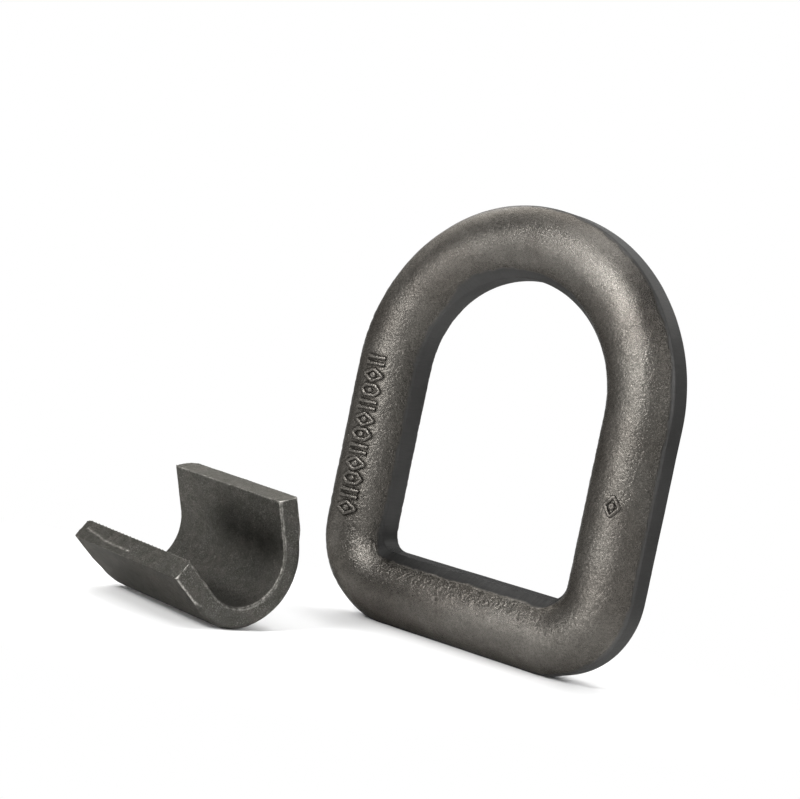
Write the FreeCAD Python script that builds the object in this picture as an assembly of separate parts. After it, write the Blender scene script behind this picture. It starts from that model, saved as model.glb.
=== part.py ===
import FreeCAD, Part
import math
import os

# Weld-on d-ring: a forged steel ring, and the forged bracket that welds over its straight bar.
# All lengths are millimetres and all angles are degrees.
# X runs along the ring's straight bar, Y runs through the ring's eye, and Z runs up the ring.
# The origin is the middle of the flat land on the underside of the straight bar.

# Ring bar: a round bar with a flat trim land on its inner and outer side, all the way round
bar_diameter = 25.4
land_inset = 0.3            # how far the land lies inside the round of the bar
flank_angle = 31.0          # from the land's normal to where the flank meets the round

# Ring outline, given at the lands
eye_width = 75.0            # between the two legs
eye_corner_radius = 6.0     # in the two lower corners of the eye
arch_rise = 74.2            # from the straight bar's centre line to the centre of the arch

# Bracket section: a round saddle with two legs that spread towards the lands
saddle_clearance = 1.3      # radial, between the bar and the saddle
bar_play = 0.2              # between the bar and the surface that the bracket is welded to
wall = 7.5
leg_spread = 14.5           # of each leg
weld_bevel = 18.0           # the lands fall away outwards and leave a groove for the weld

# Bracket ends
end_play = 2.5              # between each end of the bracket and the start of the ring's corners
end_round_back = 2.8        # outer edge of each end, round the back
end_round_leg = 0.8         # the same edge along the legs
end_round_blunt = 4.5       # the same, on the far leg at its blunt left end
end_round_growth = 4.0      # length of leg over which the round of the leg grows to that of the back
lip_chamfer = 0.8           # inner edge of each end
cut_overrun = 1.0           # how far each cut for a round reaches past the metal

# Where the loose bracket lies: on its round back, in front of the ring and to the left
bracket_yaw = -11.5
bracket_roll = 35.4
bracket_shift = -53.7       # of its middle, along the straight bar
bracket_gap = 46.5          # from the ring's front to the bracket's back, seen from above

# Worked out from the values above
bar_radius = bar_diameter / 2
land_to_centre = bar_radius - land_inset
half_span = eye_width / 2 + land_to_centre
corner_radius = eye_corner_radius + land_to_centre
straight_run = 2 * (half_span - corner_radius)
leg_run = arch_rise - corner_radius
saddle_radius = bar_radius + saddle_clearance
back_radius = saddle_radius + wall
seat_depth = bar_diameter + bar_play
bracket_length = straight_run - 2 * end_play

X_AXIS = FreeCAD.Vector(1, 0, 0)
Y_AXIS = FreeCAD.Vector(0, 1, 0)
Z_AXIS = FreeCAD.Vector(0, 0, 1)
ORIGIN = FreeCAD.Vector(0, 0, 0)


def line(start, end):
    return Part.LineSegment(start, end).toShape()


def arc(start, middle, end):
    return Part.Arc(start, middle, end).toShape()


def bar_section(centre, outward):
    """The bar's section as a face: centre on the bar's centre line, outward away from the eye."""

    def at(across, along_y):
        return centre + outward * across + Y_AXIS * along_y

    flank = math.radians(flank_angle)
    flank_top = bar_radius * math.cos(flank)
    flank_side = bar_radius * math.sin(flank)
    land_half = (bar_radius - land_to_centre * math.cos(flank)) / math.sin(flank)

    edges = []
    for side in (1, -1):
        land_start = at(side * land_to_centre, -side * land_half)
        land_end = at(side * land_to_centre, side * land_half)
        round_start = at(side * flank_top, side * flank_side)
        round_end = at(-side * flank_top, side * flank_side)
        opposite_land = at(-side * land_to_centre, side * land_half)
        edges.append(line(land_start, land_end))
        edges.append(line(land_end, round_start))
        edges.append(arc(round_start, at(0, side * bar_radius), round_end))
        edges.append(line(round_end, opposite_land))
    return Part.Face(Part.Wire(edges))


def ring():
    """One closed bar: straight base, two tight corners, two parallel legs and a half-round arch."""
    base_z = land_to_centre
    corner_z = base_z + corner_radius
    arch_z = base_z + arch_rise

    base_start = FreeCAD.Vector(-straight_run / 2, 0, base_z)
    base = bar_section(base_start, -Z_AXIS).extrude(X_AXIS * straight_run)
    runs = [base]
    for side in (1, -1):
        leg_start = FreeCAD.Vector(side * half_span, 0, corner_z)
        corner_centre = FreeCAD.Vector(side * straight_run / 2, 0, corner_z)
        section = bar_section(leg_start, X_AXIS * side)
        runs.append(section.revolve(corner_centre, Y_AXIS, side * 90))
        runs.append(section.extrude(Z_AXIS * leg_run))
    arch_start = FreeCAD.Vector(half_span, 0, arch_z)
    arch_centre = FreeCAD.Vector(0, 0, arch_z)
    runs.append(bar_section(arch_start, X_AXIS).revolve(arch_centre, Y_AXIS, -180))
    return runs[0].fuse(runs[1:]).removeSplitter()


def bracket_marks():
    """Where one leg's section turns, as (across, depth) points from the saddle's axis."""
    spread = math.radians(leg_spread)
    bevel = math.radians(weld_bevel)
    leg_length = (seat_depth - saddle_radius * (1 - math.sin(spread))) / math.cos(spread)
    land_length = wall / math.cos(bevel - spread)
    inner_end = (saddle_radius * math.cos(spread), -saddle_radius * math.sin(spread))
    outer_end = (back_radius * math.cos(spread), -back_radius * math.sin(spread))
    foot = (inner_end[0] + leg_length * math.sin(spread), inner_end[1] + leg_length * math.cos(spread))
    toe = (foot[0] + land_length * math.cos(bevel), foot[1] - land_length * math.sin(bevel))
    return inner_end, foot, toe, outer_end


def bracket_section(x):
    """The whole section as a face, at a place along the bracket."""

    def at(point, side=1):
        return FreeCAD.Vector(x, side * point[0], point[1])

    inner_end, foot, toe, outer_end = bracket_marks()
    edges = [
        arc(at(inner_end, -1), at((0, -saddle_radius)), at(inner_end)),
        line(at(inner_end), at(foot)),
        line(at(foot), at(toe)),
        line(at(toe), at(outer_end)),
        arc(at(outer_end), at((0, -back_radius)), at(outer_end, -1)),
        line(at(outer_end, -1), at(toe, -1)),
        line(at(toe, -1), at(foot, -1)),
        line(at(foot, -1), at(inner_end, -1)),
    ]
    return Part.Face(Part.Wire(edges))


def corner_waste(corner, outward, lengthwise, radius):
    """What a round takes off the corner between the outer wall and an end, as a wire."""
    centre = corner - (outward + lengthwise) * radius
    on_wall = centre + outward * radius
    on_end = centre + lengthwise * radius
    middle = centre + (outward + lengthwise) * (radius * math.sqrt(0.5))
    clear_of_wall = on_wall + outward * cut_overrun
    clear_of_end = on_end + lengthwise * cut_overrun
    outer_corner = corner + (outward + lengthwise) * cut_overrun
    return Part.Wire([
        arc(on_end, middle, on_wall),
        line(on_wall, clear_of_wall),
        line(clear_of_wall, outer_corner),
        line(outer_corner, clear_of_end),
        line(clear_of_end, on_end),
    ])


def end_waste(end, far_round, near_round):
    """What the rounds take off one end: nearly sharp along the legs, larger round the back."""
    spread = math.radians(leg_spread)
    toe, outer_end = bracket_marks()[2:]
    lengthwise = X_AXIS * end
    past_growth = math.dist(toe, outer_end) - end_round_growth
    pieces = []
    for side, leg_round in ((1, far_round), (-1, near_round)):
        outward = FreeCAD.Vector(0, side * math.cos(spread), -math.sin(spread))
        legwise = FreeCAD.Vector(0, side * math.sin(spread), math.cos(spread))
        back_end = FreeCAD.Vector(end * bracket_length / 2, side * outer_end[0], outer_end[1])
        back_waste = corner_waste(back_end, outward, lengthwise, end_round_back)
        leg_waste = corner_waste(back_end + legwise * end_round_growth, outward, lengthwise, leg_round)
        pieces.append(Part.makeLoft([back_waste, leg_waste], True, True))
        pieces.append(Part.Face(leg_waste).extrude(legwise * (past_growth + leg_round)))
    pieces.append(Part.Face(back_waste).revolve(ORIGIN, X_AXIS, 180 - 2 * leg_spread))
    return pieces


def inner_end_edges(solid):
    """The edges where the saddle and the inner faces of the legs meet the two ends."""
    inner_end, foot = bracket_marks()[:2]
    half_leg = ((inner_end[0] + foot[0]) / 2, (inner_end[1] + foot[1]) / 2)
    middles = []
    for end in (-bracket_length / 2, bracket_length / 2):
        middles.append(FreeCAD.Vector(end, half_leg[0], half_leg[1]))
        middles.append(FreeCAD.Vector(end, -half_leg[0], half_leg[1]))
        middles.append(FreeCAD.Vector(end, 0, -saddle_radius))
    found = []
    for edge in solid.Edges:
        half_way = (edge.FirstParameter + edge.LastParameter) / 2
        if any(edge.valueAt(half_way).distanceToPoint(point) < 0.01 for point in middles):
            found.append(edge)
    return found


def bracket():
    """The whole saddle, laid where the bracket lies."""
    solid = bracket_section(-bracket_length / 2).extrude(X_AXIS * bracket_length)
    waste = end_waste(-1, end_round_blunt, end_round_leg) + end_waste(1, end_round_leg, end_round_leg)
    for piece in waste:
        solid = solid.cut(piece)
    solid = solid.makeChamfer(lip_chamfer, inner_end_edges(solid))
    solid.rotate(ORIGIN, X_AXIS, bracket_roll)
    solid.rotate(ORIGIN, Z_AXIS, bracket_yaw)
    from_ring = bar_radius + bracket_gap + back_radius
    solid.translate(FreeCAD.Vector(bracket_shift, -from_ring, back_radius))
    return solid


def write(name, shape):
    print(name, "solids", len(shape.Solids), "valid", shape.isValid(), "volume", round(shape.Volume, 1))
    shape.exportStep(os.path.join("parts", name + ".step"))


os.makedirs("parts", exist_ok=True)
write("d_ring", ring())
write("weld_bracket", bracket())
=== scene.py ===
import math

import bmesh
import bpy
import numpy as np
from mathutils import Matrix, Vector


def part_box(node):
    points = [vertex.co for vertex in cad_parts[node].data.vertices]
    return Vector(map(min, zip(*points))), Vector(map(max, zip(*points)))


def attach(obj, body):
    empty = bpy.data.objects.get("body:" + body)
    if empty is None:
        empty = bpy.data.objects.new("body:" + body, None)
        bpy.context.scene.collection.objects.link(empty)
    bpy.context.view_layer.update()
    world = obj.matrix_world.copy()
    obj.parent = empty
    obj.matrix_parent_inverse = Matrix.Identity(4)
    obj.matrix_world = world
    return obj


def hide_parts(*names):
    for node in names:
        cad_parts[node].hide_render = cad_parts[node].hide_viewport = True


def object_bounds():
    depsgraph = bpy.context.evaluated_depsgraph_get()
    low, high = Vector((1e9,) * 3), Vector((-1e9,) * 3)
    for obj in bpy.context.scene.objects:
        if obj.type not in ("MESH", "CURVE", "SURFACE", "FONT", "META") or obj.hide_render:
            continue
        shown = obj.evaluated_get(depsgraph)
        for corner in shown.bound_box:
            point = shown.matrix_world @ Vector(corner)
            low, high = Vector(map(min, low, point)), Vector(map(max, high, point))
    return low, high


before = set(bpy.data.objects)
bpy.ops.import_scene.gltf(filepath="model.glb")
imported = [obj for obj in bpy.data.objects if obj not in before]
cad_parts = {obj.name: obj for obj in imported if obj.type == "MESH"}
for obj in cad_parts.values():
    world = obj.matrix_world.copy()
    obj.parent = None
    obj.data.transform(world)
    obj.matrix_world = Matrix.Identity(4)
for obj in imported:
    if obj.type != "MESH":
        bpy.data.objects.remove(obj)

# A forged steel ring and the forged bracket that welds over its straight bar, in metres.
# The ring stands on the land under its straight bar, and the bracket lies on its round back.

cad_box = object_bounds()

MM = 0.001

# Ring bar, from the solid's box and the bar's own section
ring_low, ring_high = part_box("d_ring")
bar_radius = ring_high.y
land_inset = 0.3 * MM
flank_angle = math.radians(31.0)
corner_radius = 18.4 * MM            # of the bar's centre line, in the two lower corners
land_to_centre = bar_radius - land_inset
half_span = ring_high.x - land_to_centre
arch_rise = ring_high.z - 2 * land_to_centre - half_span

# Bracket: its saddle's axis runs level, above the line on which its round back rests
bracket_yaw = math.radians(-11.5)
bracket_axis = Vector((math.cos(bracket_yaw), math.sin(bracket_yaw), 0.0))
bracket_middle = Vector((-53.7, -80.7, 21.5)) * MM
bracket_half_length = 28.9 * MM

# Land edges, as turns in radians from the middle of a land, seen from the bar's centre line
land_turn = 0.41
land_edge_blur = 0.05
land_wander = 0.30
land_widening = 0.30                 # on the eye side of the base and of the arch's top
burr_offset = 0.04
burr_width = 0.045
seam_offset = 0.08
seam_width = 0.15
leathery_fade = (0.60, 1.10)
base_front_fade = (0.84, 0.92)

# Heights on the ring, or distances from its middle, over which one finish fades into the next
base_fade = (25 * MM, 38 * MM)
base_end_fade = (32 * MM, 42 * MM)
base_foot_fade = (10 * MM, 14 * MM)
arch_land_fade = (108 * MM, 122 * MM)
arch_pressed_fade = (106 * MM, 130 * MM)

# Camera, at the photograph's place
camera_place = Vector((332.5, -515.2, 104.6)) * MM
camera_azimuth = 36.23
camera_elevation = 2.60
camera_roll = math.radians(11.67)
camera_lens = 83.09
sensor_width = 36.0

# Where the far stage mirrors white, as azimuths in degrees
white_behind = 216
white_ahead = -5

# Distances in metres over which the floor turns from lit to white, and the far stage to grey
seen_fade = (0.012, 0.10)            # from the line on which a piece stands
mirrored_fade = (0.03, 0.17)         # the same, in the metal
far_fade = (0.22, 0.50)              # from the middle of the stage

# Both steels reflect less at a grazing angle than clean metal does
dark_edges = (0.30, 0.30, 0.30, 1)


class Nodes:
    """Builds one node tree, for shapes or for materials."""

    def __init__(self, tree):
        self.tree = tree

    def put(self, socket, value):
        if isinstance(value, bpy.types.NodeSocket):
            self.tree.links.new(value, socket)
        else:
            socket.default_value = value

    def add(self, kind, inputs=None, **settings):
        node = self.tree.nodes.new(kind)
        for name, value in settings.items():
            setattr(node, name, value)
        for name, value in (inputs or {}).items():
            self.put(node.inputs[name], value)
        return node

    def math(self, operation, *values, clamp=False):
        node = self.tree.nodes.new("ShaderNodeMath")
        node.operation = operation
        node.use_clamp = clamp
        for socket, value in zip(node.inputs, values):
            self.put(socket, value)
        return node.outputs[0]

    def times(self, first, *others):
        for other in others:
            first = self.math("MULTIPLY", first, other)
        return first

    def plus(self, first, *others):
        for other in others:
            first = self.math("ADD", first, other)
        return first

    def minus(self, first, second):
        return self.math("SUBTRACT", first, second)

    def most(self, first, second):
        return self.math("MAXIMUM", first, second)

    def vector(self, operation, *values):
        node = self.tree.nodes.new("ShaderNodeVectorMath")
        node.operation = operation
        for socket, value in zip(node.inputs, values):
            self.put(socket, value)
        return node.outputs["Value" if operation in ("LENGTH", "DOT_PRODUCT") else "Vector"]

    def scaled(self, vector, scale):
        node = self.add("ShaderNodeVectorMath", {"Scale": scale}, operation="SCALE")
        self.put(node.inputs[0], vector)
        return node.outputs["Vector"]

    def ramp(self, value, low, high, to_low=0.0, to_high=1.0, smooth=True):
        kind = "SMOOTHSTEP" if smooth else "LINEAR"
        node = self.add("ShaderNodeMapRange", interpolation_type=kind)
        for socket, number in zip(node.inputs, (value, low, high, to_low, to_high)):
            self.put(socket, number)
        return node.outputs["Result"]

    def noise(self, vector, feature, detail=2.0, roughness=0.5):
        """Noise whose features are about that many metres across."""
        given = isinstance(feature, bpy.types.NodeSocket)
        scale = self.math("DIVIDE", 1.0, feature) if given else 1 / feature
        node = self.add("ShaderNodeTexNoise", {
            "Vector": vector,
            "Scale": scale,
            "Detail": detail,
            "Roughness": roughness,
        })
        return node.outputs["Fac"]

    def mix(self, factor, first, second):
        node = self.add("ShaderNodeMix", data_type="RGBA")
        self.put(node.inputs[0], factor)
        self.put(node.inputs[6], first)
        self.put(node.inputs[7], second)
        return node.outputs[2]

    def trimmed_edge(self, here, turn):
        """The turn from a land's middle, with the ragged wander of its trimmed edge."""
        wander = self.minus(self.noise(here, 7 * MM, detail=5.0, roughness=0.66), 0.5)
        return self.math("MULTIPLY_ADD", wander, land_wander, turn)

    def combine(self, x, y, z):
        node = self.add("ShaderNodeCombineXYZ", {"X": x, "Y": y, "Z": z})
        return node.outputs["Vector"]

    def parts_of(self, vector):
        node = self.add("ShaderNodeSeparateXYZ", {"Vector": vector})
        return node.outputs["X"], node.outputs["Y"], node.outputs["Z"]


class Shape(Nodes):
    """A tree that makes geometry, with named inputs."""

    def __init__(self, name, sockets, takes_mesh=False):
        super().__init__(bpy.data.node_groups.new(name, "GeometryNodeTree"))
        face = self.tree.interface
        face.new_socket(name="Geometry", in_out="OUTPUT", socket_type="NodeSocketGeometry")
        if takes_mesh:
            face.new_socket(name="Geometry", in_out="INPUT", socket_type="NodeSocketGeometry")
        self.identifiers = {}
        for socket_name, kind in sockets.items():
            made = face.new_socket(name=socket_name, in_out="INPUT", socket_type="NodeSocket" + kind)
            self.identifiers[socket_name] = made.identifier
        self.given = self.tree.nodes.new("NodeGroupInput").outputs

    def capture(self, geometry, **fields):
        """Keeps fields on a curve's points, so that the swept mesh can read them."""
        node = self.add("GeometryNodeCaptureAttribute", {"Geometry": geometry})
        for name, field in fields.items():
            node.capture_items.new("FLOAT", name)
            self.put(node.inputs[name], field)
        return [node.outputs[0]] + [node.outputs[name] for name in fields]

    def store(self, geometry, name, value):
        node = self.add("GeometryNodeStoreNamedAttribute", {
            "Geometry": geometry, "Name": name, "Value": value})
        return node.outputs[0]

    def fading(self, distances, radius):
        """1 where the least of a few distances is 0, falling to 0 at a radius."""
        least = distances[0]
        for distance in distances[1:]:
            least = self.math("MINIMUM", least, distance)
        return self.ramp(least, 0.0, radius, 1.0, 0.0)

    def near(self, places, radius):
        """1 at any of a few places, falling to 0 at a radius from them."""
        here = self.add("GeometryNodeInputPosition").outputs[0]
        distances = [self.vector("LENGTH", self.vector("SUBTRACT", here, tuple(place))) for place in places]
        return self.fading(distances, radius)

    def near_line(self, places, radius):
        """1 on a slightly wandering line through a few places, falling to 0 at a radius from it."""
        here = self.add("GeometryNodeInputPosition").outputs[0]
        wander = self.minus(self.noise(here, 5 * MM, detail=2.0), 0.5)
        here = self.vector("ADD", here, self.combine(0.0, 0.0, self.times(wander, 2.4 * MM)))
        distances = []
        for start, end in zip(places, places[1:]):
            run = end - start
            off = self.vector("SUBTRACT", here, tuple(start))
            reach = self.vector("DOT_PRODUCT", off, tuple(run))
            share = self.math("DIVIDE", reach, run.length_squared, clamp=True)
            foot = self.scaled(tuple(run), share)
            distances.append(self.vector("LENGTH", self.vector("SUBTRACT", off, foot)))
        return self.fading(distances, radius)

    def pressed_in(self, geometry, depth):
        """Moves a surface inwards, so that it never leaves its solid, and least where it stands."""
        normal = self.add("GeometryNodeInputNormal").outputs[0]
        height = self.parts_of(self.add("GeometryNodeInputPosition").outputs[0])[2]
        above_floor = self.ramp(height, 0.0, 2.5 * MM, 0.1, 1.0)
        inward = self.scaled(normal, self.times(self.times(depth, above_floor), -1.0))
        return self.add("GeometryNodeSetPosition", {"Geometry": geometry, "Offset": inward}).outputs[0]

    def end(self, geometry, material):
        """Every tree ends in real geometry with its material."""
        real = self.add("GeometryNodeRealizeInstances", {"Geometry": geometry}).outputs[0]
        smooth = self.add("GeometryNodeSetShadeSmooth", {"Geometry": real}).outputs[0]
        painted = self.add("GeometryNodeSetMaterial", {"Geometry": smooth, "Material": material})
        self.add("NodeGroupOutput", {"Geometry": painted.outputs[0]})

    def mesh_object(self, name, values, holder=None):
        """Runs the tree once and returns its result as a plain mesh object."""
        if holder is None:
            holder = link(bpy.data.objects.new(name + "_tree", bpy.data.meshes.new(name + "_tree")))
        modifier = holder.modifiers.new("shape", "NODES")
        modifier.node_group = self.tree
        for socket_name, value in values.items():
            modifier[self.identifiers[socket_name]] = value
        return finished(holder, name)


def link(obj):
    bpy.context.scene.collection.objects.link(obj)
    return obj


def finished(holder, name):
    """The evaluated result of an object with modifiers, as a new plain object at the origin."""
    bpy.context.view_layer.update()
    graph = bpy.context.evaluated_depsgraph_get()
    mesh = bpy.data.meshes.new_from_object(holder.evaluated_get(graph), depsgraph=graph)
    mesh.name = name
    bpy.data.objects.remove(holder)
    return link(bpy.data.objects.new(name, mesh))


def forged_bar_shape():
    """The ring: a closed path with four rounded corners, swept by the bar's section."""
    shape = Shape("forged_bar", {
        "Half Span": "Float",
        "Arch Rise": "Float",
        "Corner Radius": "Float",
        "Bar Radius": "Float",
        "Land To Centre": "Float",
        "Flank Angle": "Float",
        "Land Edge Softness": "Float",
        "Land Depth": "Float",
        "Path Points": "Int",
        "Section Points": "Int",
        "Swell Depth": "Float",
        "Swell Size": "Float",
        "Dimple Depth": "Float",
        "Dimple Size": "Float",
        "Pit Depth": "Float",
        "Pit Radius": "Float",
        "Marks": "Object",
        "Foot Width": "Float",
        "Material": "Material",
    })
    given = shape.given
    span = given["Half Span"]

    # Path, lying flat: the two upper corners are so large that they make the half-round arch
    height = shape.plus(given["Arch Rise"], span)
    outline = shape.add("GeometryNodeCurvePrimitiveQuadrilateral", {
        "Width": shape.times(span, 2.0), "Height": height}).outputs[0]
    place = shape.add("GeometryNodeInputPosition").outputs[0]
    is_upper = shape.math("GREATER_THAN", shape.parts_of(place)[1], 0.0)
    upper_radius = shape.times(span, 0.9999)
    lower_part = shape.times(shape.minus(1.0, is_upper), given["Corner Radius"])
    radius = shape.math("MULTIPLY_ADD", is_upper, upper_radius, lower_part)
    rounded = shape.add("GeometryNodeFilletCurve", {
        "Curve": outline, "Count": 200, "Radius": radius, "Limit Radius": True}, mode="POLY").outputs[0]
    even = shape.add("GeometryNodeResampleCurve", {
        "Curve": rounded, "Count": given["Path Points"]}).outputs[0]
    length = shape.add("GeometryNodeSplineParameter").outputs["Length"]
    path, along = shape.capture(even, along=length)

    # Section: a round with a flat land on two sides and a straight flank on each side of a land
    circle = shape.add("GeometryNodeCurvePrimitiveCircle", {
        "Resolution": given["Section Points"], "Radius": 1.0}).outputs[0]
    unit = shape.add("GeometryNodeInputPosition").outputs[0]
    unit_x, unit_y, unit_z = shape.parts_of(unit)
    land_ward = shape.math("ABSOLUTE", unit_x)
    turn = shape.math("ARCCOSINE", shape.math("MINIMUM", land_ward, 1.0))
    to_land = shape.math("DIVIDE", given["Land To Centre"], shape.most(land_ward, 0.05))
    off_flank = shape.minus(turn, given["Flank Angle"])
    to_flank = shape.math("DIVIDE", given["Bar Radius"], shape.math("COSINE", off_flank))
    to_edge = shape.math("SMOOTH_MIN", to_land, to_flank, given["Land Edge Softness"])
    near_land = shape.math("LESS_THAN", turn, given["Flank Angle"])
    flat_part = shape.times(near_land, to_edge)
    round_part = shape.times(shape.minus(1.0, near_land), given["Bar Radius"])
    reach = shape.plus(flat_part, round_part)
    side = shape.times(turn, shape.math("SIGN", unit_y))
    eye_ward = shape.math("LESS_THAN", unit_x, 0.0)
    measured, section_turn, section_side, inner = shape.capture(
        circle, turn=turn, side=side, inner=eye_ward)
    section = shape.add("GeometryNodeSetPosition", {
        "Geometry": measured, "Position": shape.scaled(unit, reach)}).outputs[0]

    # Sweep, then stand the flat shape upright with the bottom land at the origin
    swept = shape.add("GeometryNodeCurveToMesh", {
        "Curve": path, "Profile Curve": section, "Fill Caps": False}).outputs[0]
    base_height = shape.math("MULTIPLY_ADD", height, 0.5, given["Land To Centre"])
    upright = shape.add("GeometryNodeTransform", {
        "Geometry": swept,
        "Translation": shape.combine(0.0, 0.0, base_height),
        "Rotation": shape.combine(math.pi / 2, 0.0, 0.0),
    }).outputs[0]

    # Lands with a ragged edge, and the leathery band that runs beside them
    here = shape.add("GeometryNodeInputPosition").outputs[0]
    across_x, _, up_z = shape.parts_of(here)
    low_part = shape.ramp(up_z, *base_fade, 1.0, 0.0)
    off_middle = shape.math("ABSOLUTE", across_x)
    low_bar = shape.times(low_part, shape.ramp(off_middle, *base_end_fade, 1.0, 0.0))
    high_bar = shape.ramp(up_z, *arch_land_fade)
    wide = shape.times(inner, shape.most(low_bar, high_bar))
    land_place = shape.math("MULTIPLY_ADD", wide, -land_widening, section_turn)
    edge_turn = shape.trimmed_edge(here, land_place)
    on_land = shape.ramp(edge_turn, land_turn - land_edge_blur, land_turn + land_edge_blur, 1.0, 0.0)
    off_land = shape.minus(1.0, on_land)
    band = shape.ramp(edge_turn, *leathery_fade, 1.0, 0.50)
    creased = shape.times(shape.near(left_corner_crease, 12 * MM), 1.6)
    rough = shape.times(off_land, shape.most(band, creased))

    # The front of the base and the top of the arch are pressed smooth
    front = shape.ramp(edge_turn, *base_front_fade)
    front = shape.most(front, shape.ramp(up_z, *base_foot_fade, 1.0, 0.0))
    arch_top = shape.ramp(up_z, *arch_pressed_fade, 0.0, 0.85)
    pressed = shape.times(low_bar, front)
    pressed = shape.most(pressed, arch_top)
    leathery = shape.times(rough, shape.math("MULTIPLY_ADD", pressed, -0.85, 1.0))

    # Trimming, hammer and blast only ever press inwards, and least where the ring stands
    swell = shape.times(shape.noise(here, given["Swell Size"], detail=1.0), given["Swell Depth"])
    dimple_noise = shape.noise(here, given["Dimple Size"], detail=2.0, roughness=0.6)
    dimple = shape.times(shape.ramp(dimple_noise, 0.25, 0.75), given["Dimple Depth"])
    dimple = shape.times(dimple, leathery)
    pit = shape.times(shape.near(ring_pits, given["Pit Radius"]), given["Pit Depth"])
    trimmed = shape.times(on_land, given["Land Depth"])
    depth = shape.plus(shape.plus(swell, dimple), shape.plus(pit, trimmed))
    forged = shape.pressed_in(upright, depth)

    # The foot of the raised marks, where scale stays and where shade is painted
    marks = shape.add("GeometryNodeObjectInfo", {"Object": given["Marks"]}).outputs["Geometry"]
    nearest = shape.add("GeometryNodeProximity", {"Geometry": marks}, target_element="FACES")
    distance = nearest.outputs["Distance"]
    foot = shape.math("SUBTRACT", 1.0, shape.math("DIVIDE", distance, given["Foot Width"]), clamp=True)

    stored = shape.store(forged, "turn", land_place)
    stored = shape.store(stored, "leathery", leathery)
    stored = shape.store(stored, "pressed", pressed)
    # The eye side of the base, which carries the burr and the painted shade
    stored = shape.store(stored, "burred", shape.times(inner, low_part))
    stored = shape.store(stored, "along", along)
    stored = shape.store(stored, "side", section_side)
    # A patch of painted shade on the outer side of the lower left corner, added to the foot
    corner_shade = shape.times(shape.near(left_corner_shade, 17 * MM), 0.60)
    foot = shape.most(foot, corner_shade)
    stored = shape.store(stored, "foot", shape.most(foot, shape.near(ring_pits, given["Pit Radius"])))
    shape.end(stored, given["Material"])
    return shape


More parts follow.
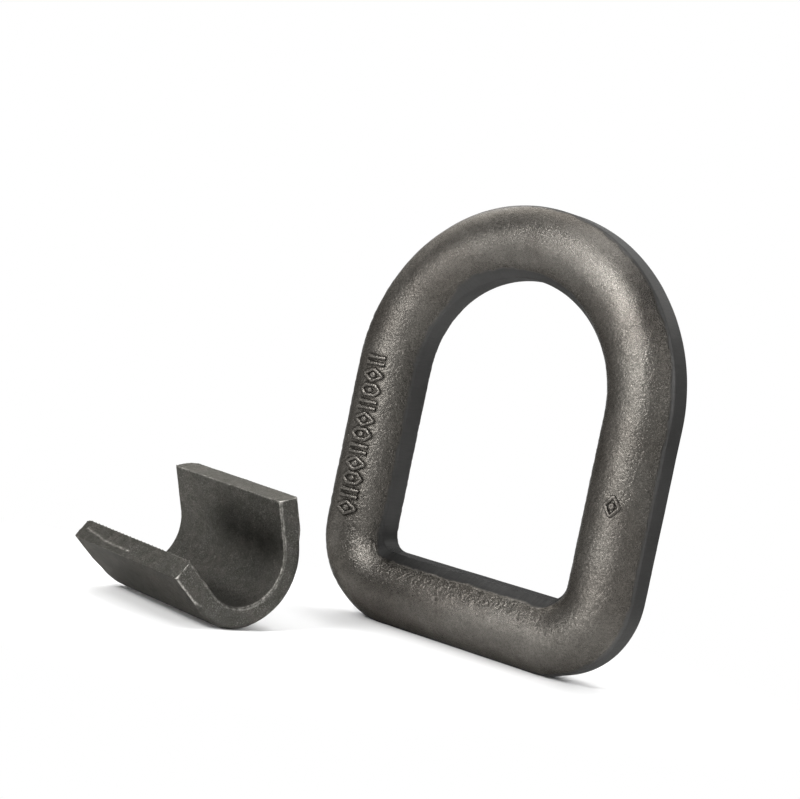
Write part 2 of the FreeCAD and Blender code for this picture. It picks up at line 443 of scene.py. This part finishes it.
def raised_marks_shape():
    """A row of plain raised marks, made flat (along, across, height) and then wrapped round the bar."""
    shape = Shape("raised_marks", {
        "Count": "Int",
        "Pitch": "Float",
        "Kinds": "Int",
        "Length": "Float",
        "Width": "Float",
        "Stroke": "Float",
        "Rise": "Float",
        "Leg X": "Float",
        "Start Height": "Float",
        "Middle Angle": "Float",
        "Bar Radius": "Float",
        "Material": "Material",
    })
    given = shape.given
    stroke_round = shape.add("GeometryNodeCurvePrimitiveCircle", {
        "Resolution": 14, "Radius": shape.times(given["Stroke"], 0.5)}).outputs[0]
    stroke_tall = shape.math("DIVIDE", shape.times(given["Rise"], 2.0), given["Stroke"])

    def outline(corners, share, turn):
        """A closed outline with a few corners, slightly rounded."""
        even = shape.add("GeometryNodeCurvePrimitiveCircle", {
            "Resolution": corners, "Radius": share}).outputs[0]
        turned = shape.add("GeometryNodeTransform", {
            "Geometry": even, "Rotation": (0.0, 0.0, turn)}).outputs[0]
        sized = shape.add("GeometryNodeTransform", {
            "Geometry": turned, "Scale": shape.combine(given["Length"], given["Width"], 1.0)}).outputs[0]
        return shape.add("GeometryNodeFilletCurve", {
            "Curve": sized, "Count": 4, "Radius": 0.35 * MM, "Limit Radius": True}, mode="POLY").outputs[0]

    def bar(shift):
        """A straight stroke across the band."""
        x = shape.times(given["Length"], shift)
        half = shape.times(given["Width"], 0.42)
        ends = (shape.combine(x, shape.times(half, -1.0), 0.0), shape.combine(x, half, 0.0))
        return shape.add("GeometryNodeCurvePrimitiveLine", {"Start": ends[0], "End": ends[1]}).outputs[0]

    def stroked(*curves):
        joined = shape.add("GeometryNodeJoinGeometry")
        for curve in curves:
            shape.tree.links.new(curve, joined.inputs[0])
        fine = shape.add("GeometryNodeResampleCurve", {
            "Curve": joined.outputs[0], "Length": 0.3 * MM}, mode="LENGTH").outputs[0]
        solid = shape.add("GeometryNodeCurveToMesh", {
            "Curve": fine, "Profile Curve": stroke_round, "Fill Caps": True}).outputs[0]
        flat = shape.add("GeometryNodeTransform", {
            "Geometry": solid, "Scale": shape.combine(1.0, 1.0, stroke_tall)}).outputs[0]
        return shape.add("GeometryNodeGeometryToInstance", {"Geometry": flat}).outputs[0]

    lozenge = stroked(outline(4, 0.46, 0.0), outline(4, 0.12, 0.0))
    twin_bars = stroked(bar(-0.24), bar(0.24))
    six_sided = stroked(outline(6, 0.44, math.pi / 2), outline(4, 0.10, 0.0))
    kinds = shape.add("GeometryNodeJoinGeometry")
    for kind in (six_sided, twin_bars, lozenge):
        shape.tree.links.new(kind, kinds.inputs[0])

    row = shape.add("GeometryNodeMeshLine", {
        "Count": given["Count"],
        "Start Location": (0.0, 0.0, 0.0),
        "Offset": shape.combine(given["Pitch"], 0.0, 0.0),
    }).outputs[0]
    index = shape.add("GeometryNodeInputIndex").outputs[0]
    placed = shape.add("GeometryNodeInstanceOnPoints", {
        "Points": row,
        "Instance": kinds.outputs[0],
        "Pick Instance": True,
        "Instance Index": shape.math("MODULO", index, given["Kinds"]),
    }).outputs[0]
    real = shape.add("GeometryNodeRealizeInstances", {"Geometry": placed}).outputs[0]

    # Wrap: along runs up the leg, across turns round it, and height stands off it
    along, across, height = shape.parts_of(shape.add("GeometryNodeInputPosition").outputs[0])
    uneven = shape.noise(shape.combine(along, across, 0.0), 1.2 * MM)
    lower = shape.times(shape.minus(uneven, 0.6), shape.times(given["Rise"], 0.5))
    angle = shape.plus(given["Middle Angle"], shape.math("DIVIDE", across, given["Bar Radius"]))
    from_axis = shape.plus(shape.plus(given["Bar Radius"], height), lower)
    x = shape.math("MULTIPLY_ADD", from_axis, shape.math("SINE", angle), given["Leg X"])
    y = shape.times(shape.times(from_axis, shape.math("COSINE", angle)), -1.0)
    z = shape.plus(given["Start Height"], along)
    wrapped = shape.add("GeometryNodeSetPosition", {
        "Geometry": real, "Position": shape.combine(x, y, z)}).outputs[0]
    stored = shape.store(wrapped, "turn", math.pi / 2)

    # The wrap mirrors the marks, so their faces are turned outwards again
    outward = shape.add("GeometryNodeFlipFaces", {"Mesh": stored}).outputs[0]
    shape.end(outward, given["Material"])
    return shape


class Paint(Nodes):
    """A material, with the surface's own coordinates at hand."""

    def __init__(self, name):
        material = bpy.data.materials.new(name)
        material.use_nodes = True
        material.node_tree.nodes.clear()
        super().__init__(material.node_tree)
        self.material = material
        self.here = self.add("ShaderNodeTexCoord").outputs["Object"]

    def attribute(self, name):
        return self.add("ShaderNodeAttribute", attribute_name=name).outputs["Fac"]

    def bump(self, height, distance):
        return self.add("ShaderNodeBump", {
            "Height": height, "Distance": distance, "Strength": 1.0}).outputs["Normal"]

    def metal(self, color, roughness, normal, metallic, edge_tint):
        shader = self.add("ShaderNodeBsdfPrincipled", {
            "Base Color": color,
            "Roughness": roughness,
            "Normal": normal,
            "Metallic": metallic,
            "Specular Tint": edge_tint,
        })
        self.add("ShaderNodeOutputMaterial", {"Surface": shader.outputs[0]})
        return self.material


def blasted_steel():
    """Shot-blasted forged steel: an even warm grain, with smoother and cooler trimmed lands."""
    warm_dark = (0.094, 0.086, 0.077, 1)
    warm_light = (0.111, 0.104, 0.094, 1)
    leathery_brown = (0.074, 0.069, 0.059, 1)
    trimmed_dark = (0.078, 0.077, 0.075, 1)
    trimmed_light = (0.090, 0.089, 0.087, 1)
    eye_side_shade_black = (0.010, 0.010, 0.010, 1)
    seam_and_shadow_brown = (0.030, 0.029, 0.026, 1)
    bare_fleck = (0.27, 0.26, 0.245, 1)
    scale_and_shade = (0.022, 0.020, 0.017, 1)

    paint = Paint("blasted_steel")
    here = paint.here
    leathery = paint.attribute("leathery")
    pressed = paint.attribute("pressed")
    burred = paint.attribute("burred")
    grain = paint.noise(here, 0.30 * MM, detail=2.0, roughness=0.6)
    pebble = paint.noise(here, 0.85 * MM, detail=2.5)
    patch = paint.ramp(paint.noise(here, 24 * MM, detail=2.0), 0.35, 0.65)
    mottle = paint.noise(here, 5.0 * MM, detail=4.0, roughness=0.6)

    # Where the land ends, with its burr, and the dark seam just outside it
    edge_turn = paint.trimmed_edge(here, paint.attribute("turn"))
    land = paint.ramp(edge_turn, land_turn - land_edge_blur, land_turn + land_edge_blur, 1.0, 0.0)
    off_land = paint.minus(1.0, land)
    from_burr = paint.math("ABSOLUTE", paint.minus(edge_turn, land_turn + burr_offset))
    burr_strength = paint.math("MULTIPLY_ADD", burred, 0.30, 0.10)
    burr = paint.times(paint.ramp(from_burr, 0.0, burr_width, 1.0, 0.0), burr_strength)
    from_seam = paint.math("ABSOLUTE", paint.minus(edge_turn, land_turn + seam_offset))
    seam = paint.ramp(from_seam, 0.0, seam_width, 1.0, 0.0)

    # The blasted body
    warm = paint.mix(patch, warm_dark, warm_light)
    warm = paint.mix(paint.times(leathery, 0.26), warm, leathery_brown)
    warm = paint.scaled(warm, paint.math("MULTIPLY_ADD", pressed, 0.06, 1.0))
    both_grains = paint.math("MULTIPLY_ADD", pebble, 0.8, grain)
    speckle = paint.ramp(both_grains, 0.65, 1.15, 0.72, 1.28, smooth=False)
    mottled = paint.scaled(warm, paint.ramp(mottle, 0.30, 0.70, 0.90, 1.09))
    grained = paint.scaled(mottled, speckle)

    # The lands, with fine streaks across them and painted shade on the eye side of the base, broken by the
    # streaks
    across = paint.times(paint.attribute("side"), 0.6 * MM)
    streak_place = paint.combine(paint.attribute("along"), across, 0.0)
    streak = paint.noise(streak_place, 0.55 * MM, detail=3.0, roughness=0.6)
    trimmed = paint.mix(patch, trimmed_dark, trimmed_light)
    trimmed = paint.scaled(trimmed, paint.ramp(streak, 0.3, 0.7, 0.92, 1.08, smooth=False))
    eye_side_shaded = paint.times(burred, paint.ramp(streak, 0.25, 0.75, 0.66, 0.46, smooth=False))
    trimmed = paint.mix(eye_side_shaded, trimmed, eye_side_shade_black)
    color = paint.mix(land, grained, trimmed)

    # Seam, burr and scale over both, with painted shade in the seam and the scale
    # The dark seam is deeper on the eye side of the base, and that extra darkness is a painted shadow under
    # the land's edge
    seam_and_shadow_depth = paint.math("MULTIPLY_ADD", burred, 0.36, 0.22)
    seam_and_shadow_depth = paint.times(seam_and_shadow_depth, paint.minus(1.0, pressed))
    seam_breaks = paint.ramp(paint.noise(here, 2.2 * MM, detail=4.0, roughness=0.65), 0.40, 0.62)
    color = paint.mix(paint.times(seam, seam_breaks, seam_and_shadow_depth), color, seam_and_shadow_brown)
    flecked = paint.times(burr, paint.ramp(pebble, 0.50, 0.62))
    color = paint.mix(paint.times(flecked, 0.60), color, bare_fleck)
    # Scale round the foot of the raised marks and in the pits, partly painted shade; on the lower left
    # corner it is painted shade only
    scale_and_shade_left = paint.ramp(paint.attribute("foot"), 0.05, 0.95, 0.0, 0.90)
    color = paint.mix(scale_and_shade_left, color, scale_and_shade)

    # Blast grain, orange peel, streaks and burr in relief
    roughness = paint.plus(paint.ramp(grain, 0.3, 0.7, 0.22, 0.34), paint.times(land, 0.24))
    blast = paint.times(grain, paint.ramp(land, 0.0, 1.0, 0.74, 0.34, smooth=False))
    peel = paint.math("MULTIPLY_ADD", leathery, 1.5, paint.times(off_land, 0.7))
    peel = paint.times(peel, paint.math("MULTIPLY_ADD", pressed, -0.60, 1.0))
    peel = paint.times(pebble, peel)
    scratch = paint.times(streak, paint.times(land, 0.06))
    height = paint.plus(paint.plus(blast, peel), paint.plus(scratch, paint.times(burr, 0.5)))
    normal = paint.bump(height, 0.16 * MM)
    return paint.metal(color, roughness, normal, metallic=0.9, edge_tint=dark_edges)


def scaled_steel():
    """Forged steel under dark scale: speckled, and worn bright along its sharp edges."""
    scale_dark = (0.078, 0.075, 0.069, 1)
    scale_light = (0.093, 0.086, 0.078, 1)
    scale_olive = (0.062, 0.061, 0.053, 1)
    shaded = (0.012, 0.012, 0.010, 1)
    far_wall_shade_black = (0.014, 0.014, 0.012, 1)
    rubbed_brown = (0.21, 0.19, 0.17, 1)
    bare_fleck = (0.23, 0.225, 0.21, 1)
    worn_steel = (0.58, 0.56, 0.52, 1)

    paint = Paint("scaled_steel")
    here = paint.here
    inside = paint.attribute("inside")
    end_face = paint.attribute("end_face")
    patch = paint.ramp(paint.noise(here, 12 * MM, detail=3.0), 0.35, 0.65)
    mottle = paint.ramp(paint.noise(here, 2.4 * MM, detail=4.0, roughness=0.6), 0.32, 0.70)
    grain = paint.noise(here, 0.36 * MM, detail=2.0, roughness=0.65)

    # Scale, with painted shade in the saddle and deeper painted shade on its far wall
    scale = paint.mix(patch, scale_dark, scale_light)
    color = paint.mix(mottle, scale_olive, scale)
    color = paint.scaled(color, paint.ramp(grain, 0.3, 0.7, 0.76, 1.24, smooth=False))
    far_wall_shaded = paint.times(paint.attribute("soot"), inside)
    color = paint.mix(paint.times(inside, 0.13), color, shaded)
    color = paint.mix(paint.times(far_wall_shaded, 0.66), color, far_wall_shade_black)

    # The ridge on the near land is rubbed here and there
    rub_breaks = paint.ramp(paint.noise(here, 1.6 * MM, detail=3.0), 0.34, 0.60, 0.03, 0.24)
    color = paint.mix(paint.times(paint.attribute("ridge"), rub_breaks), color, rubbed_brown)

    # Bare flecks in clusters, most on the end faces, and none under the painted shade on the far wall
    cluster = paint.ramp(paint.noise(here, 9 * MM, detail=2.0), 0.38, 0.62, 0.35, 1.0)
    often = paint.times(cluster, paint.ramp(end_face, 0.5, 0.9, 0.65, 1.0))
    fleck = paint.ramp(paint.noise(here, 0.36 * MM, detail=1.0), 0.55, 0.70)
    fleck = paint.times(fleck, often, paint.minus(1.0, far_wall_shaded))
    color = paint.mix(paint.times(fleck, 0.65), color, bare_fleck)

    # Wear along the sharp edges, in a broken line, and brightest round the end faces
    wear_breaks = paint.ramp(paint.noise(here, 0.9 * MM, detail=3.0, roughness=0.7), 0.38, 0.56, 0.12, 1.0)
    lip = paint.ramp(end_face, 0.15, 0.45, 0.60, 1.0)
    bright = paint.times(paint.attribute("wear"), wear_breaks, lip)
    color = paint.mix(bright, color, worn_steel)

    roughness = paint.ramp(grain, 0.3, 0.7, 0.38, 0.54)
    pebble = paint.times(paint.noise(here, 1.1 * MM, detail=2.0), 1.2)
    normal = paint.bump(paint.plus(grain, pebble), 0.13 * MM)
    return paint.metal(color, roughness, normal, metallic=0.85, edge_tint=dark_edges)


def ring_forged(material, marks):
    shape = forged_bar_shape()
    piece = shape.mesh_object("ring_forged", {
        "Half Span": half_span,
        "Arch Rise": arch_rise,
        "Corner Radius": corner_radius,
        "Bar Radius": bar_radius,
        "Land To Centre": land_to_centre,
        "Flank Angle": flank_angle,
        "Land Edge Softness": 0.06 * MM,
        "Land Depth": 0.16 * MM,
        "Path Points": 680,
        "Section Points": 140,
        "Swell Depth": 0.22 * MM,
        "Swell Size": 14 * MM,
        "Dimple Depth": 0.24 * MM,
        "Dimple Size": 2.0 * MM,
        "Pit Depth": 0.35 * MM,
        "Pit Radius": 0.9 * MM,
        "Marks": marks,
        "Foot Width": 1.1 * MM,
        "Material": material,
    })
    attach(piece, "root")
    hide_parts("d_ring")


def raised_marks(name, material, **its_own):
    """A row of plain raised marks on the front of one leg."""
    values = {
        "Kinds": 3,
        "Stroke": 1.45 * MM,
        "Rise": 0.80 * MM,
        "Bar Radius": bar_radius - 0.12 * MM,
        "Material": material,
    }
    values.update(its_own)
    piece = raised_marks_shape().mesh_object(name, values)
    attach(piece, "root")
    return piece


def forged_skin_shape():
    """The bracket's forged surface, pressed slightly into a finely remeshed solid."""
    shape = Shape("forged_skin", {
        "Axis Place": "Vector",
        "Axis Direction": "Vector",
        "Swell Depth": "Float",
        "Swell Size": "Float",
        "Dimple Depth": "Float",
        "Dimple Size": "Float",
        "Pit Depth": "Float",
        "Pit Radius": "Float",
        "Soot Reach": "Float",
        "Ridge Width": "Float",
        "Material": "Material",
    }, takes_mesh=True)
    given = shape.given
    here = shape.add("GeometryNodeInputPosition").outputs[0]
    normal = shape.add("GeometryNodeInputNormal").outputs[0]
    off_middle = shape.vector("SUBTRACT", here, given["Axis Place"])
    along = shape.vector("DOT_PRODUCT", off_middle, given["Axis Direction"])
    from_axis = shape.vector("SUBTRACT", off_middle, shape.scaled(given["Axis Direction"], along))
    outward = shape.vector("DOT_PRODUCT", shape.vector("NORMALIZE", from_axis), normal)
    inside = shape.ramp(outward, -0.75, -0.35, 1.0, 0.0)
    end_face = shape.math("ABSOLUTE", shape.vector("DOT_PRODUCT", normal, given["Axis Direction"]))

    swell = shape.times(shape.noise(here, given["Swell Size"], detail=1.0), given["Swell Depth"])
    dimple = shape.times(shape.noise(here, given["Dimple Size"], detail=2.0), given["Dimple Depth"])
    pit = shape.times(shape.near(bracket_pits, given["Pit Radius"]), given["Pit Depth"])
    depth = shape.plus(shape.plus(swell, dimple), pit)
    ridge = shape.near_line(land_ridge, given["Ridge Width"])
    depth = shape.times(shape.plus(depth, 0.10 * MM), shape.minus(1.0, ridge))
    forged = shape.pressed_in(given["Geometry"], depth)

    stored = shape.store(forged, "inside", inside)
    stored = shape.store(stored, "ridge", ridge)
    stored = shape.store(stored, "end_face", end_face)
    # Where shade is painted on the saddle's far wall
    stored = shape.store(stored, "soot", shape.near(far_wall_shade_places, given["Soot Reach"]))
    shape.end(stored, given["Material"])
    return shape


def edge_wear(mesh, reach, dull, bright):
    """Wear where a surface stands proud of its surroundings: 0 up to dull, 1 from bright."""
    count = len(mesh.vertices)
    place = np.empty(count * 3)
    mesh.vertices.foreach_get("co", place)
    place = place.reshape(count, 3)
    normal = np.empty(count * 3)
    mesh.vertices.foreach_get("normal", normal)
    normal = normal.reshape(count, 3)
    ends = np.empty(len(mesh.edges) * 2, dtype=np.int32)
    mesh.edges.foreach_get("vertices", ends)
    first, second = ends.reshape(-1, 2).T
    neighbours = np.bincount(first, minlength=count) + np.bincount(second, minlength=count)

    def evened(values):
        sums = [np.bincount(first, values[second, k], count) + np.bincount(second, values[first, k], count)
                for k in range(values.shape[1])]
        return np.stack(sums, axis=1) / neighbours[:, None]

    around = place
    for _ in range(reach):
        around = evened(around)
    proud = ((place - around) * normal).sum(axis=1, keepdims=True)
    proud = evened(proud)[:, 0]
    wear = np.clip((proud - dull) / (bright - dull), 0.0, 1.0)
    kept = mesh.attributes.new("wear", "FLOAT", "POINT")
    kept.data.foreach_set("value", wear.astype(np.float32))


def bracket_forged(material):
    """The bracket's solid, remeshed finely enough to take its forged surface and worn edges."""
    cad = bmesh.new()
    cad.from_mesh(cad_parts["weld_bracket"].data)
    bmesh.ops.remove_doubles(cad, verts=cad.verts, dist=0.001 * MM)
    holder = link(bpy.data.objects.new("bracket_solid", bpy.data.meshes.new("bracket_solid")))
    cad.to_mesh(holder.data)
    cad.free()
    remesh = holder.modifiers.new("fine", "REMESH")
    remesh.mode = "VOXEL"
    remesh.voxel_size = 0.40 * MM
    remesh.use_smooth_shade = True
    smooth = holder.modifiers.new("worn", "SMOOTH")
    smooth.factor = 0.5
    smooth.iterations = 3
    piece = forged_skin_shape().mesh_object("bracket_forged", {
        "Axis Place": bracket_middle,
        "Axis Direction": bracket_axis,
        "Swell Depth": 0.25 * MM,
        "Swell Size": 11 * MM,
        "Dimple Depth": 0.12 * MM,
        "Dimple Size": 1.8 * MM,
        "Pit Depth": 0.30 * MM,
        "Pit Radius": 0.9 * MM,
        "Soot Reach": 14.5 * MM,
        "Ridge Width": 0.75 * MM,
        "Material": material,
    }, holder)
    edge_wear(piece.data, reach=2, dull=0.021 * MM, bright=0.055 * MM)
    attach(piece, "root")
    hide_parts("weld_bracket")


def studio_white():
    """The floor and wall: pale round the part, where it keeps the shadows, and white further off.

    To the eye it is white all round. In the metal the far stage mirrors white in front of the part
    and behind it, and grey to both sides.
    """
    paint = Paint("studio_white")

    def off_foot(middle, axis, half_length):
        """How far a place is from the line on which a piece stands."""
        off = paint.vector("SUBTRACT", paint.here, (middle.x, middle.y, 0.0))
        along = paint.vector("DOT_PRODUCT", off, tuple(axis))
        on_line = paint.math("MINIMUM", paint.most(along, -half_length), half_length)
        foot = paint.scaled(tuple(axis), on_line)
        return paint.vector("LENGTH", paint.vector("SUBTRACT", off, foot))

    ring_off = off_foot(Vector((0, 0, 0)), Vector((1, 0, 0)), half_span - corner_radius)
    bracket_off = off_foot(bracket_middle, bracket_axis, bracket_half_length)
    off_feet = paint.math("MINIMUM", ring_off, bracket_off)
    white_seen = paint.ramp(off_feet, *seen_fade)
    white_mirrored = paint.ramp(off_feet, *mirrored_fade)
    off_centre = paint.vector("SUBTRACT", paint.here, tuple(stage_centre))
    flat = paint.vector("MULTIPLY", off_centre, (1.0, 1.0, 0.0))
    bearing = paint.vector("NORMALIZE", flat)
    behind = paint.vector("DOT_PRODUCT", bearing, tuple(direction_of(white_behind)))
    ahead = paint.vector("DOT_PRODUCT", bearing, tuple(direction_of(white_ahead)))
    behind = paint.ramp(behind, 0.50, 0.87)
    ahead = paint.ramp(ahead, 0.42, 0.82)
    aside = paint.minus(1.0, paint.most(behind, ahead))
    far = paint.ramp(paint.vector("LENGTH", flat), *far_fade)
    tone = paint.math("MULTIPLY_ADD", paint.times(far, aside), -0.60, 1.0)
    path = paint.add("ShaderNodeLightPath")
    seen = paint.times(path.outputs["Is Camera Ray"], white_seen)
    mirrored = paint.most(path.outputs["Is Glossy Ray"], path.outputs["Is Transmission Ray"])
    mirrored = paint.times(mirrored, white_mirrored)
    lit = paint.add("ShaderNodeBsdfDiffuse", {"Color": (0.86, 0.86, 0.86, 1)}).outputs[0]
    strength = paint.most(tone, path.outputs["Is Camera Ray"])
    white = paint.add("ShaderNodeEmission", {"Color": (1, 1, 1, 1), "Strength": strength}).outputs[0]
    both = paint.add("ShaderNodeMixShader", {0: paint.most(seen, mirrored), 1: lit, 2: white})
    paint.add("ShaderNodeOutputMaterial", {"Surface": both.outputs[0]})
    return paint.material


def studio_sweep():
    """A round floor that turns up into a low wall all the way round."""
    middle_radius = 0.4
    floor_radius = 1.3
    cove_radius = 0.3
    cove_steps = 8
    wall_height = 0.8
    profile = [(0.0, 0.0), (middle_radius, 0.0), (floor_radius, 0.0)]
    for step in range(1, cove_steps + 1):
        turn = math.pi / 2 * step / cove_steps
        profile.append((floor_radius + cove_radius * math.sin(turn), cove_radius * (1 - math.cos(turn))))
    profile.append((floor_radius + cove_radius, wall_height))
    mesh = bmesh.new()
    sides = 96
    rows = []
    for reach, height in profile:
        if reach == 0:
            rows.append([mesh.verts.new((stage_centre.x, stage_centre.y, height))])
            continue
        row = []
        for k in range(sides):
            turn = 2 * math.pi * k / sides
            row.append(mesh.verts.new((
                stage_centre.x + reach * math.cos(turn), stage_centre.y + reach * math.sin(turn), height)))
        rows.append(row)
    for inner, outer in zip(rows, rows[1:]):
        for k in range(sides):
            after = (k + 1) % sides
            if len(inner) == 1:
                mesh.faces.new((inner[0], outer[k], outer[after]))
            else:
                mesh.faces.new((inner[k], outer[k], outer[after], inner[after]))
    data = bpy.data.meshes.new("studio_sweep")
    mesh.to_mesh(data)
    mesh.free()
    data.shade_smooth()
    data.materials.append(studio_white())
    sweep = link(bpy.data.objects.new("studio_sweep", data))


def direction_of(azimuth, elevation=0):
    """The direction from the part: azimuth 0 is in front of the ring and 90 on its right."""
    turn, lift = math.radians(azimuth), math.radians(elevation)
    return Vector((math.sin(turn) * math.cos(lift), -math.cos(turn) * math.cos(lift), math.sin(lift)))


def softbox(name, azimuth, elevation, width, height, power):
    """A rectangular lamp that faces the part."""
    lamp = bpy.data.lights.new(name, "AREA")
    lamp.shape = "RECTANGLE"
    lamp.size = width
    lamp.size_y = height
    lamp.energy = power
    holder = link(bpy.data.objects.new(name, lamp))
    towards = direction_of(azimuth, elevation)
    holder.location = light_target + towards * lamp_distance
    holder.rotation_mode = "QUATERNION"
    holder.rotation_quaternion = towards.to_track_quat("Z", "Y")


def studio_world():
    world = bpy.data.worlds.new("studio_world")
    bpy.context.scene.world = world
    world.use_nodes = True
    nodes = Nodes(world.node_tree)
    world.node_tree.nodes.clear()
    grey = nodes.add("ShaderNodeBackground", {"Color": (1, 1, 1, 1), "Strength": 0.02})
    nodes.add("ShaderNodeOutputWorld", {"Surface": grey.outputs[0]})


def photo_camera():
    data = bpy.data.cameras.new("photo_camera")
    data.lens = camera_lens
    data.sensor_width = sensor_width
    data.clip_start = 0.01
    data.clip_end = 20.0
    holder = link(bpy.data.objects.new("photo_camera", data))
    back = direction_of(camera_azimuth, camera_elevation)
    turn = math.radians(camera_azimuth)
    level = Vector((math.cos(turn), math.sin(turn), 0.0))
    upright = back.cross(level)
    right = level * math.cos(camera_roll) + upright * math.sin(camera_roll)
    up = back.cross(right)
    turned = Matrix((right, up, back)).transposed()
    holder.matrix_world = Matrix.Translation(camera_place) @ turned.to_4x4()
    bpy.context.scene.camera = holder


def in_metres(*points):
    """Points that are given in millimetres."""
    return [Vector(point) * MM for point in points]


low, high = cad_box
stage_centre = Vector(((low.x + high.x) / 2, (low.y + high.y) / 2, 0.0))
light_target = (low + high) / 2
lamp_distance = 0.95

# Places on the pieces, in millimetres, where the photograph shows something of its own, and where shade is
# painted on them
left_corner_crease = in_metres((-47.5, -12.3, 18.0))
# Where shade is painted on the ring's lower left corner
left_corner_shade = in_metres((-54.0, -5.0, 9.0))
ring_pits = in_metres((-5.5, -12.3, 14.9), (26.5, -11.6, 17.0), (60.8, -6.2, 66.2))
bracket_pits = in_metres((-55.3, -67.2, 16.1))
land_ridge = in_metres((-83.0, -98.1, 18.2), (-70.7, -101.6, 16.9), (-58.4, -104.1, 16.9))
# Where shade is painted on the bracket's far inner wall
far_wall_shade_places = in_metres((-50.0, -69.2, 28.5), (-42.0, -70.0, 26.5), (-34.0, -71.3, 25.5))

ring_material = blasted_steel()
left_marks = raised_marks("leg_marks", ring_material, **{
    "Count": 11,
    "Pitch": 5.15 * MM,
    "Length": 4.5 * MM,
    "Width": 8.3 * MM,
    "Leg X": -half_span,
    "Start Height": 36.0 * MM,
    "Middle Angle": math.radians(4.0),
})
raised_marks("maker_mark", ring_material, **{
    "Count": 1,
    "Pitch": 5.0 * MM,
    "Length": 7.0 * MM,
    "Width": 5.4 * MM,
    "Leg X": half_span,
    "Start Height": 59.4 * MM,
    "Middle Angle": math.radians(10.0),
})
ring_forged(ring_material, left_marks)
bracket_forged(scaled_steel())

studio_sweep()
studio_world()
softbox("key", azimuth=3, elevation=34, width=0.20, height=0.20, power=8.1)
softbox("key_high", azimuth=-4, elevation=62, width=0.30, height=0.40, power=2.4)
softbox("front_low", azimuth=-8, elevation=5, width=0.30, height=0.30, power=4.3)
softbox("behind_right", azimuth=180, elevation=31, width=0.75, height=0.30, power=4.4)
softbox("behind_left", azimuth=232, elevation=38, width=0.60, height=0.50, power=6.8)
softbox("right_side", azimuth=94, elevation=27, width=0.35, height=0.35, power=2.3)
softbox("left_side", azimuth=-90, elevation=30, width=0.30, height=0.30, power=1.1)
softbox("overhead", azimuth=200, elevation=80, width=0.55, height=0.55, power=3.6)
photo_camera()

view = bpy.context.scene.view_settings
view.view_transform = "Standard"
